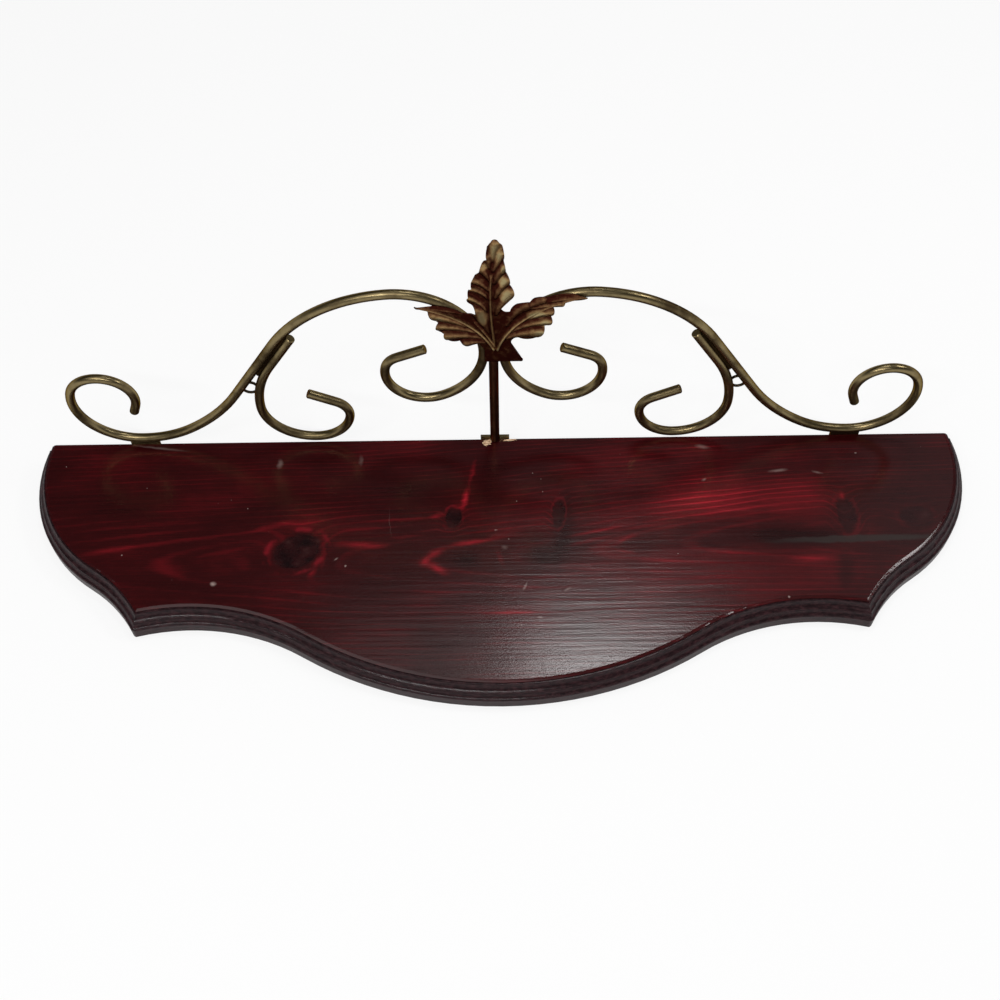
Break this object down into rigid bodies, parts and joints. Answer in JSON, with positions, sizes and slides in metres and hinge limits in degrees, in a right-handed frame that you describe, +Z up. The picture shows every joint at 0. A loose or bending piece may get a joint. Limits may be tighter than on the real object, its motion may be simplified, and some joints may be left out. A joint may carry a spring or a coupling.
{
  "type": "wall shelf rack",
  "caption": "Scalloped wooden wall shelf with a moulded edge and an upright scrolled brass rail with a leaf ornament along its back.",
  "frame": {"origin": "middle of the shelf board's underside, half way between its straight back edge and the front of its centre bow", "axes": "+X to the right along the back edge, +Y towards the wall, +Z up"},
  "size_m": [0.613, 0.1906, 0.2074],
  "materials": {
    "stained_wood": "deep cherry-red stain under a glossy lacquer, nearly black on the moulded edge",
    "antique_brass": "antique brass plating, satin with darker brown patina",
    "dark_bronze": "dark bronze-brown patina with brassy high spots",
    "weld_metal": "brazed beads under the same dark patina",
    "screw_steel": "yellowed zinc-plated steel"
  },
  "bodies": {
    "root": {"shelf_board": "stained_wood", "right_main_scroll": "antique_brass", "left_main_scroll": "antique_brass", "right_lower_scroll": "antique_brass", "left_lower_scroll": "antique_brass", "centre_post": "dark_bronze", "leaf_ornament": "dark_bronze", "right_foot_tab": "antique_brass", "left_foot_tab": "antique_brass", "centre_foot_tab": "antique_brass", "foot_screws": "screw_steel", "right_hanging_ring": "antique_brass", "left_hanging_ring": "antique_brass", "rail_welds": "weld_metal"}
  },
  "joints": []
}
